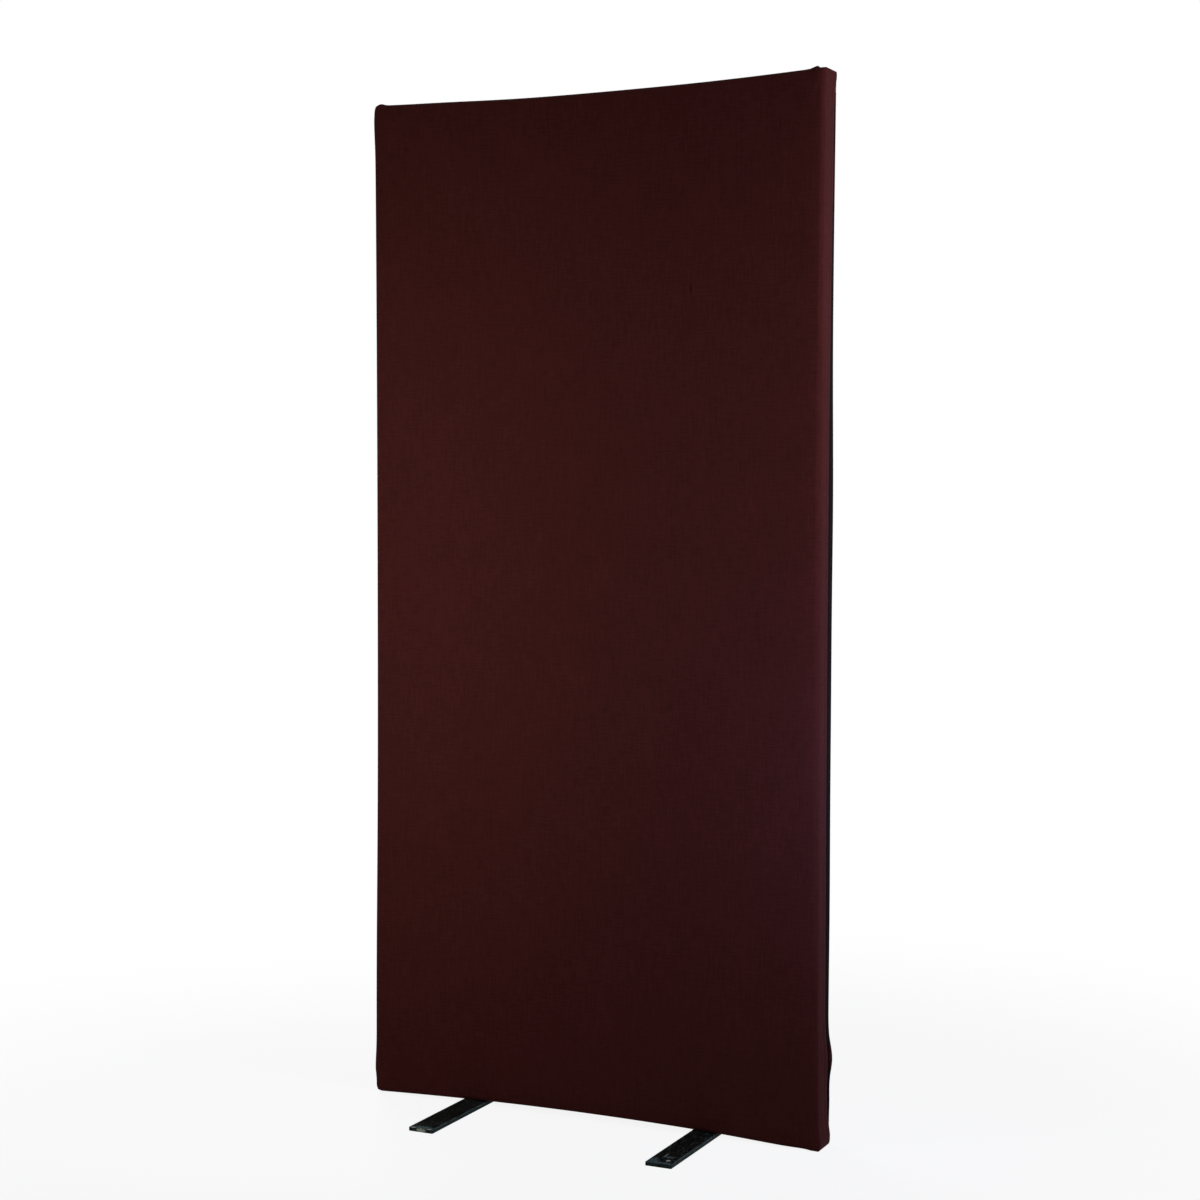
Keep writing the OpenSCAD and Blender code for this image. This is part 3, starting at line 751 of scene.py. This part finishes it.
def makeWool(name):
    wool = mineralWool
    material, add, place = newMaterial(name)
    long, wide, thick = 1 / wool["fibreLong"], 1 / wool["fibreWide"], 1 / wool["fibreThick"]
    layers = []
    for scale, shift in (((long, wide, thick), 0), ((wide, wide, long), 5.1)):
        scaled = add("Mapping", {"Vector": place, "Scale": scale, "Location": [shift] * 3})
        layers.append(add("TexNoise", {"Vector": scaled, "Scale": 1, "Detail": 4}))
    fibres = add("Math", layers, operation="ADD")
    tufts = add("TexNoise", {"Vector": place, "Scale": 1 / wool["tuft"]})
    tufted = add("Math", (tufts, wool["tuftShare"], fibres), operation="MULTIPLY_ADD")
    tone = add("MapRange", (tufted, *wool["toneRange"]))
    colour = add("MixRGB", (tone, wool["deep"], wool["light"]))
    return finishMaterial(material, wool, colour, fibres)


woolMaterial = makeWool("mineralWoolSlab")
slabs = {"infill_bottom": "woolSlabBottom", "infill_lower_middle": "woolSlabLowerMiddle",
         "infill_upper_middle": "woolSlabUpperMiddle", "infill_top": "woolSlabTop"}
for node, name in slabs.items():
    slab = makeSlab(node, name)
    dress(slab, woolMaterial, "mineral_wool", node)
print("wool slabs made")


# Closure tapes: knitted nylon bands, one with a pile of loops and one with rows of small hooks

closureTape = {"width": 0.018, "thick": 0.0006, "behind": 0.002, "columns": 12, "rows": 300,
               "selvedge": 0.08, "pile": 0.00012, "pileEven": 0.6, "pileRough": 0.4, "pileAcross": 18,
               "clear": 0.00006}


def makeTape(name, depth, node, pileGap):
    tape = closureTape
    front = seamY - panel["lapPull"] - tape["behind"]
    low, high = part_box(node)

    def placeAt(s, across):
        pile = 0.0
        if min(across, 1 - across) > tape["selvedge"]:
            rough = noise.noise((across * tape["pileAcross"], s["z"] / pileGap, 0))
            pile = tape["pile"] * (tape["pileEven"] + tape["pileRough"] * rough)
        return depth + tape["clear"] + tape["pile"] - pile, front - tape["width"] * across

    thick = tape["thick"] - 2 * tape["clear"] - tape["pile"]
    return edgeBand(name, tape, low[2], high[2], thick, placeAt)


# Nylon tape: matt black knit with a fine pile, a little shiny on the hooks' plastic

nylonTape = {
    "loop": {"colour": "#0d0d0f", "shade": "#1a1a1d", "grain": 0.0009, "roughness": 0.95, "specular": 0.15},
    "hook": {"colour": "#0b0b0c", "shade": "#202023", "grain": 0.0015, "roughness": 0.5, "specular": 0.4},
    "both": {"pileFull": 0.4, "depth": 0.0004, "relief": 0.7},
}


def makeNylon(name, kind):
    style = {**nylonTape["both"], **nylonTape[kind]}
    material, add, place = newMaterial(name)
    pile = add("TexVoronoi", {"Vector": place, "Scale": 1 / style["grain"]})
    fuzz = add("TexNoise", {"Vector": place, "Scale": 0.5 / style["grain"], "Detail": 3})
    fuzzy = add("Math", (pile, fuzz), operation="MULTIPLY")
    tone = add("MapRange", (fuzzy, 0, style["pileFull"]))
    colour = add("MixRGB", (tone, style["shade"], style["colour"]))
    return finishMaterial(material, style, colour, pile)


loopNylon, hookNylon = makeNylon("nylonLoopTape", "loop"), makeNylon("nylonHookTape", "hook")
loopDepth = panel["clothThick"]
hookDepth = panel["clothThick"] + closureTape["thick"]
tapes = [("loopTape", loopDepth, "closure_loop_tape", 0.0018, loopNylon),
         ("hookTape", hookDepth, "closure_hook_tape", 0.0015, hookNylon)]
for name, depth, node, gap, material in tapes:
    tape = makeTape(name, depth, node, gap)
    dress(tape, material, "black_nylon_tape", node)
print("closure tapes made")


# Painted shade behind the lap: a thin dark strip laid along the back cover's edge, where the cover shows only
# its own cloth in shade

paintedShadeStrip = {"low": 0.05, "high": 2.395, "front": 0.0107, "thick": 0.0004, "clear": 0.0001,
                 "width": 0.0343, "columns": 16, "rows": 300, "narrowed": 0.55, "narrowAt": 0.205,
                 "narrowRun": 0.060}


def paintedShadeStripPlace(s, across):
    # how far in from the outline, and how far back, for a place across the strip
    style = paintedShadeStrip
    fold = panel["foldRadius"]
    # the painted shade strip is narrowed at the pucker near the floor, where the back cloth catches light
    width = style["width"] * (1 - style["narrowed"] * bell((s["z"] - style["narrowAt"]) / style["narrowRun"]))
    pastFlat = style["front"] + across * width - foldY
    if pastFlat <= 0:
        y = foldY + pastFlat
        return stepIn(s) - backLift(s, y) - style["thick"], y
    r = fold + style["thick"]
    return (stepIn(s) + fold - (r + standOut(s, 1.0)) * math.cos(pastFlat / r),
            foldY + r * math.sin(pastFlat / r))


# Painted shade for the strip behind the lap: a near-black ribbed cloth, matt, a little dusty; the 1 mm ribs
# are drawn 2 mm apart

# the deep and light tones are painted shade
shadeStripCloth = {"deep": "#120e0d", "light": "#231c1a", "rib": 0.002, "ribWander": 0.4, "ribShare": 0.5,
             "dustWide": 0.004, "dustLong": 0.02, "toneRange": (0.3, 1.2), "roughness": 0.95,
             "specular": 0.03, "depth": 0.0003, "relief": 0.7}


def makeShadeStripCloth(name):
    style = shadeStripCloth
    material, add, place = newMaterial(name, "cloth")
    wave = {"Vector": place, "Scale": bandScale(style["rib"]), "Distortion": style["ribWander"]}
    ribs = add("TexWave", wave, bands_direction="Y").outputs["Fac"]
    sizes = (1 / style["dustWide"], 1 / style["dustLong"], 1)
    scaled = add("Mapping", {"Vector": place, "Scale": sizes})
    dust = add("TexNoise", {"Vector": scaled, "Scale": 1, "Detail": 3})
    dusty = add("Math", (ribs, style["ribShare"], dust), operation="MULTIPLY_ADD")
    tone = add("MapRange", (dusty, *style["toneRange"]))
    colour = add("MixRGB", (tone, style["deep"], style["light"]))
    return finishMaterial(material, style, colour, ribs)


# painted shade: a dark sheet over the back cover behind the lap
shadeStrip = edgeBand("paintedShadeStrip", paintedShadeStrip, paintedShadeStrip["low"], paintedShadeStrip["high"],
                  paintedShadeStrip["thick"] - paintedShadeStrip["clear"], paintedShadeStripPlace)
dress(shadeStrip, makeShadeStripCloth("paintedShadeStripBlack"), "black_nylon_tape")
print("closure facing:", len(shadeStrip.data.polygons), "faces")


# Planed pine: warm yellow softwood, with darker late wood in long streaks along each board

pine = {"early": "#dfbf88", "late": "#b98a50", "ringGap": 0.007, "ringShare": 0.65, "streakLong": 0.35,
        "fibreLong": 0.02, "fibreWide": 0.0006, "fibreShare": 0.5, "wander": 3.0, "wanderScale": 0.4,
        "toneRange": (0.15, 1.0), "roughness": 0.62, "specular": 0.3, "depth": 0.0002, "relief": 0.4}


def makePine(name, turn):
    material, add, place = newMaterial(name)
    turned = add("Mapping", {"Vector": place, "Rotation": [math.radians(a) for a in turn]})
    along = pine["ringGap"] / pine["streakLong"] * 4
    drawn = add("Mapping", {"Vector": turned, "Scale": (along, 1, 1)})
    wave = {"Vector": drawn, "Scale": bandScale(pine["ringGap"]), "Distortion": pine["wander"],
            "Detail Scale": pine["wanderScale"]}
    rings = add("TexWave", wave, bands_direction="DIAGONAL", wave_profile="SAW").outputs["Fac"]
    long, wide = 1 / pine["fibreLong"], 1 / pine["fibreWide"]
    scaled = add("Mapping", {"Vector": turned, "Scale": (long, wide, wide)})
    fibres = add("TexNoise", {"Vector": scaled, "Scale": 1, "Detail": 3})
    faint = add("Math", (fibres, pine["fibreShare"]), operation="MULTIPLY")
    figured = add("Math", (rings, pine["ringShare"], faint), operation="MULTIPLY_ADD")
    tone = add("MapRange", (figured, *pine["toneRange"]))
    colour = add("MixRGB", (tone, pine["early"], pine["late"]))
    return finishMaterial(material, pine, colour, fibres)


paintNodes(makePine("planedPineLevel", (0, 0, 0)), "top_rail", "bottom_rail", "cross_rail_lower",
           "cross_rail_middle", "cross_rail_upper", "foot_block_left", "foot_block_right")
paintNodes(makePine("planedPineUpright", (0, 90, 0)), "stile_left", "stile_right")
paintNodes(makePine("planedPineRising", (0, 45, 0)), "corner_block_top_left", "corner_block_bottom_right")
paintNodes(makePine("planedPineFalling", (0, -45, 0)), "corner_block_top_right", "corner_block_bottom_left")


# Zinc-plated steel: bright and slightly cloudy; the passivated screws are yellow with a greenish tinge

zincPlate = {
    "bright": {"pale": "#c4c7ca", "dull": "#8e9398", "cloud": 0.003, "roughness": 0.32},
    "yellow": {"pale": "#cdb468", "dull": "#98904f", "cloud": 0.0016, "roughness": 0.36},
    "both": {"toneRange": (0.35, 0.65), "roughRange": (0.3, 0.7), "roughMore": 0.12, "turnWide": 0.004,
             "turnGap": 0.0002, "specular": 0.5, "depth": 0.00003, "relief": 0.4},
}


def makeZinc(name, kind):
    zinc = {**zincPlate["both"], **zincPlate[kind]}
    material, add, place = newMaterial(name)
    cloud = add("TexNoise", {"Vector": place, "Scale": 1 / zinc["cloud"], "Detail": 3})
    tone = add("MapRange", (cloud, *zinc["toneRange"]))
    colour = add("MixRGB", (tone, zinc["dull"], zinc["pale"]))
    least, most = zinc["roughness"], zinc["roughness"] + zinc["roughMore"]
    zinc["roughness"] = add("MapRange", (cloud, *zinc["roughRange"], least, most))
    wide, gap = 1 / zinc["turnWide"], 1 / zinc["turnGap"]
    scaled = add("Mapping", {"Vector": place, "Scale": (wide, wide, gap)})
    turning = add("TexNoise", {"Vector": scaled, "Scale": 1, "Detail": 1})
    return finishMaterial(material, zinc, colour, turning, {"Metallic": 1.0})


paintNodes(makeZinc("zincPlateBright", "bright"), "foot_bolts", "foot_washers", "foot_nuts")
paintNodes(makeZinc("zincPlateYellow", "yellow"), "frame_screws")


# Packing rubber: dull black with a dusty bloom

packingRubber = {"colour": "#141415", "bloom": "#26262a", "grain": 0.0012, "patch": 0.012,
                 "bloomRange": (0.35, 0.7), "roughness": 0.8, "specular": 0.3, "depth": 0.0001, "relief": 0.7}


def makeRubber(name):
    rubber = packingRubber
    material, add, place = newMaterial(name)
    grain = add("TexNoise", {"Vector": place, "Scale": 1 / rubber["grain"], "Detail": 3})
    patch = add("TexNoise", {"Vector": place, "Scale": 1 / rubber["patch"]})
    tone = add("MapRange", (patch, *rubber["bloomRange"]))
    colour = add("MixRGB", (tone, rubber["colour"], rubber["bloom"]))
    return finishMaterial(material, rubber, colour, grain)


paintNodes(makeRubber("packingRubber"), "foot_pad_left", "foot_pad_right")


# Black paint on mild steel bar: half-matt, sprayed thin over a rolled surface, scuffed on its edges
# and chipped to the primer at the ends. Its upright faces are painted a lighter teal grey, a painted
# reflection, and two pale marks on the left bar's top front edge are painted highlights.
# The scratches are drawn about 1 mm wide so that they show
# A chip, a painted highlight or a rub is the centre and the half size of an oval on the bar

# the side tones are a painted reflection on the bar's upright faces
blackPaint = {
    "paint": "#020202", "dust": "#121413", "side": "#2a3a34", "sideSheenDark": "#0c1312", "scuff": "#5f716e",
    "primerAndGlint": "#b0b8a6", "rust": "#6a6450", "grain": 0.0034, "patch": 0.011, "dragWide": 0.0015,
    "dragLong": 0.03, "edgeWide": 0.0022, "sideWide": 0.0004, "sideFull": 0.0001, "rubRagged": 1.6,
    "chipAndGlintRagged": 0.9, "specular": 0.035, "depth": 0.00012, "relief": 0.6,
    "ranges": {"dust": (0.4, 0.75), "side": (0.38, 0.62), "wear": (0.32, 0.52), "rust": (0.62, 0.68),
               "rub": (0.40, 0.58, 0.05, 0.75), "drag": (0.60, 0.80, 0, 0.6),
               "roughness": (0.3, 0.7, 0.47, 0.71)},
}
footMarks = {
    "left": {
        # the first mark is primer showing on the end face; the next two are painted highlights along the top
        # front edge
        "chipsAndGlints": [((-0.3030, -0.3010, 0.0045), (0.0130, 0.0040, 0.0044)),
                  ((-0.3250, -0.3000, 0.0094), (0.0075, 0.0022, 0.0012)),
                  ((-0.2825, -0.3000, 0.0094), (0.0065, 0.0022, 0.0012))],
        "rubs": [((-0.2980, -0.2930, 0.0095), (0.0300, 0.0090, 0.0012)),
                 ((-0.2730, -0.2300, 0.0095), (0.0020, 0.0500, 0.0012))],
    },
    "right": {
        # a pale spot near the front end, and a long thin scratch
        "chipsAndGlints": [((0.3165, -0.2760, 0.0095), (0.0050, 0.0055, 0.0012)),
                  ((0.2960, -0.2420, 0.0095), (0.0008, 0.0150, 0.0010))],
        "rubs": [((0.2830, -0.2850, 0.0095), (0.0130, 0.0200, 0.0012)),
                 ((0.3040, -0.2950, 0.0095), (0.0320, 0.0065, 0.0012)),
                 ((0.3100, -0.2520, 0.0095), (0.0120, 0.0080, 0.0012)),
                 ((0.3340, -0.2300, 0.0095), (0.0020, 0.0600, 0.0012))],
    },
}


def spotsMask(add, place, spots, ragged):
    # 1 inside any of the ovals
    mask = 0
    for centre, size in spots:
        mask = add("Math", (mask, spotMask(add, place, centre, size, ragged)), operation="MAXIMUM")
    return mask


def makeBlackPaint(name, side, marks):
    style = blackPaint
    material, add, place = newMaterial(name)
    # how near a place is to the bar's long edges, ends and top
    low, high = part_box(f"foot_bar_{side}")
    centre = ((low[0] + high[0]) / 2, (low[1] + high[1]) / 2, 0)
    half = ((high[0] - low[0]) / 2, (high[1] - low[1]) / 2, high[2])
    offset = add("VectorMath", (place, centre), operation="SUBTRACT")
    folded = add("VectorMath", (offset,), operation="ABSOLUTE")
    axes = add("SeparateXYZ", (folded,)).outputs
    near, faces = [], []
    for axis, end in zip(axes, half):
        near.append(add("MapRange", (axis, end - style["edgeWide"], end)))
        faces.append(add("MapRange", (axis, end - style["sideWide"], end - style["sideFull"])))
    nearSide = add("Math", near[:2], operation="MAXIMUM")
    edges = add("Math", (nearSide, near[2]), operation="MULTIPLY")
    upright = add("Math", faces[:2], operation="MAXIMUM")
    # rolled grain, dusty patches and long drag marks
    grain = add("TexNoise", {"Vector": place, "Scale": 1 / style["grain"], "Detail": 4})
    wide, long = 1 / style["dragWide"], 1 / style["dragLong"]
    layers = []
    for scale, shift in (([1 / style["patch"]] * 3, 1.3), ((wide, long, wide), 4.2)):
        scaled = add("Mapping", {"Vector": place, "Scale": scale, "Location": [shift] * 3})
        layers.append(add("TexNoise", {"Vector": scaled, "Scale": 1, "Detail": 3}))
    patch, drag = layers
    patterns = {"dust": patch, "side": patch, "wear": patch, "rust": grain, "rub": grain, "drag": drag,
                "roughness": patch}
    shares = {}
    for key, pattern in patterns.items():
        shares[key] = add("MapRange", (pattern, *style["ranges"][key]))
    dusty = add("MixRGB", (shares["dust"], style["paint"], style["dust"]))
    # painted reflection: the upright faces get the lighter teal side tones
    sideSheen = add("MixRGB", (shares["side"], style["sideSheenDark"], style["side"]))
    sideSheened = add("MixRGB", (upright, dusty, sideSheen))
    speckled = add("MixRGB", (shares["rust"], sideSheened, style["rust"]))
    dragged = add("MixRGB", (shares["drag"], speckled, style["scuff"]))
    # worn edges, rubs, chips, and painted highlights drawn like chips
    wear = add("Math", (edges, shares["wear"]), operation="MULTIPLY")
    rubs = spotsMask(add, place, marks["rubs"], style["rubRagged"])
    chipsAndGlints = spotsMask(add, place, marks["chipsAndGlints"], style["chipAndGlintRagged"])
    mottledRubs = add("Math", (rubs, shares["rub"]), operation="MULTIPLY")
    worn = add("Math", (wear, mottledRubs), operation="MAXIMUM")
    scuffed = add("MixRGB", (worn, dragged, style["scuff"]))
    colour = add("MixRGB", (chipsAndGlints, scuffed, style["primerAndGlint"]))
    height = add("Math", (grain, chipsAndGlints), operation="SUBTRACT")
    return finishMaterial(material, {**style, "roughness": shares["roughness"]}, colour, height)


for side, marks in footMarks.items():
    paintNodes(makeBlackPaint(f"blackPaintScuffed{side.capitalize()}", side, marks), f"foot_bar_{side}")
print("node materials set")


# Floor, world and lamps

studio = {"floor": "#f4f4f4", "floorUnseen": "#808080", "floorSize": 60, "shadowNear": 0.9, "shadowFar": 2.6,
          "shadowShare": 0.12, "ambient": 0.04, "white": "#ffffff"}


def seenByCamera(owner):
    # 1 where the camera sees something, straight or in metal or through glass
    rays = addNode(owner, "LightPath").outputs
    seen = addNode(owner, "Math", (rays["Is Camera Ray"], rays["Is Glossy Ray"]), operation="MAXIMUM")
    return addNode(owner, "Math", (seen, rays["Is Transmission Ray"]), operation="MAXIMUM")


def makeFloor():
    material, add, place = newMaterial("studioPaperFloor")
    distance = add("VectorMath", (place,), operation="LENGTH").outputs["Value"]
    shadowEnd = (distance, studio["shadowNear"], studio["shadowFar"], 1 - studio["shadowShare"], 1)
    far = add("MapRange", shadowEnd, interpolation_type="SMOOTHSTEP")
    paper = add("BsdfDiffuse", {"Color": studio["floor"]})
    dull = add("BsdfDiffuse", {"Color": studio["floorUnseen"]})
    white = add("Emission", {"Color": studio["white"], "Strength": 1})
    seenFloor = add("MixShader", (far, paper, white))
    shader = add("MixShader", (seenByCamera(material), dull, seenFloor))
    add("OutputMaterial", {"Surface": shader})
    return material


deselectAll()
bpy.ops.mesh.primitive_plane_add(size=studio["floorSize"], location=(0, 0, 0))
floor = bpy.context.object
floor.name = "studioFloor"
floor.data.materials.append(makeFloor())


def makeWorld():
    world = bpy.data.worlds.new("studioWorld")
    world.use_nodes = True
    scene.world = world
    world.node_tree.nodes.clear()
    soft = addNode(world, "Background", {"Color": studio["white"], "Strength": studio["ambient"]})
    white = addNode(world, "Background", {"Color": studio["white"], "Strength": 1})
    both = addNode(world, "MixShader", (seenByCamera(world), soft, white))
    addNode(world, "OutputWorld", {"Surface": both})


makeWorld()

softboxes = {
    "frontLeft": {"place": (-0.62, -1.15, 1.31), "aim": (-0.62, 0, 1.31), "size": (0.4, 1.5), "power": 9.2,
                  "colour": "#ffffff"},
    "frontRight": {"place": (1.38, -1.00, 1.37), "aim": (1.38, 0, 1.37), "size": (0.6, 0.8), "power": 7.0,
                   "colour": "#f4f0ff"},
    "side": {"place": (1.95, -0.30, 2.10), "aim": (0.58, 0, 1.80), "size": (0.4, 0.8), "power": 21,
             "colour": "#e6e2ff"},
    "sideLow": {"place": (0.98, -0.38, 0.86), "aim": (0.58, 0, 0.86), "size": (0.15, 0.3), "power": 2.4,
                "colour": "#7fa9ff"},
    "top": {"place": (0, 0, 3.60), "aim": (0, 0, 0), "size": (1.2, 0.25), "power": 2.5, "colour": "#ffffff"},
    "fill": {"place": (0.5, -6.5, 1.6), "aim": (0, 0, 1.2), "size": (5.0, 3.0), "power": 15,
             "colour": "#ffffff"},
    "back": {"place": (-2.8, 2.6, 1.6), "aim": (0, 0, 1.2), "size": (1.6, 1.6), "power": 110,
             "colour": "#ffffff"},
}


def addSoftbox(name, lamp):
    deselectAll()
    bpy.ops.object.light_add(type="AREA", location=lamp["place"])
    light = bpy.context.object
    light.name = name
    light.data.shape = "RECTANGLE"
    light.data.size, light.data.size_y = lamp["size"]
    light.data.energy = lamp["power"]
    light.data.color = linear(lamp["colour"])[:3]
    direction = Vector(lamp["aim"]) - Vector(lamp["place"])
    light.rotation_euler = direction.to_track_quat("-Z", "Y").to_euler()
    light.visible_camera = False


for name, lamp in softboxes.items():
    addSoftbox(name, lamp)
print("lamps placed:", len(softboxes))
